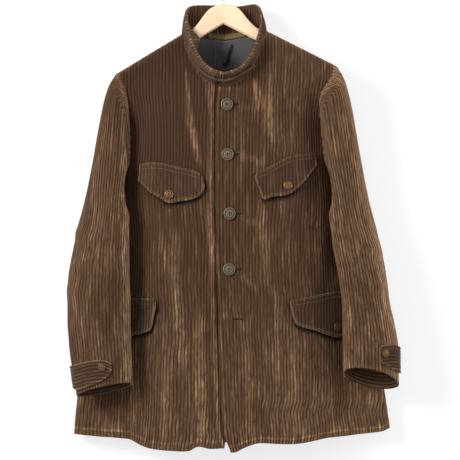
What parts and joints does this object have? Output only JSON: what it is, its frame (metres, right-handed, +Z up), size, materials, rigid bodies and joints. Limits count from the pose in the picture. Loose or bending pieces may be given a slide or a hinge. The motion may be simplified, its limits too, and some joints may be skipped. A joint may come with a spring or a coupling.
{
  "type": "corduroy hunting jacket on a wooden coat hanger",
  "caption": "Wide-wale brown corduroy hunting jacket, buttoned, with turned-up collar, flap pockets and wrist tabs, hung on a contoured wooden hanger.",
  "frame": {"origin": "the inner side of the hook's crown, where it rests on its rail", "axes": "+Z up, -Y out of the jacket's front, +X towards the wearer's left"},
  "size_m": [0.6323, 0.135, 0.9194],
  "materials": {
    "corduroy": "wide-wale cotton corduroy, matt",
    "lining": "dark grey woven lining, dull",
    "label": "olive woven strip, bare",
    "tape": "black woven tape",
    "pewter": "greyed, low relief",
    "brass": "aged, dull",
    "wood": "light beech, satin lacquer",
    "hook_wire": "plain round wire"
  },
  "bodies": {
    "root": {"front_right": "corduroy", "front_left": "corduroy", "back": "corduroy", "sleeve_right": "corduroy", "sleeve_left": "corduroy", "collar": "corduroy", "throat_tab": "corduroy", "chest_flap_right": "corduroy", "chest_flap_left": "corduroy", "hip_flap_right": "corduroy", "hip_flap_left": "corduroy", "cuff_tab_right": "corduroy", "cuff_tab_left": "corduroy", "lining_back": "lining", "label": "label", "hang_loop": "tape", "front_button_1": "pewter", "front_button_2": "pewter", "front_button_3": "pewter", "front_button_4": "pewter", "chest_button_right": "brass", "chest_button_left": "brass", "hip_button_right": "brass", "hip_button_left": "brass", "cuff_button_right": "brass", "cuff_button_left": "brass", "hanger": "wood", "hook": "hook_wire"}
  },
  "joints": []
}
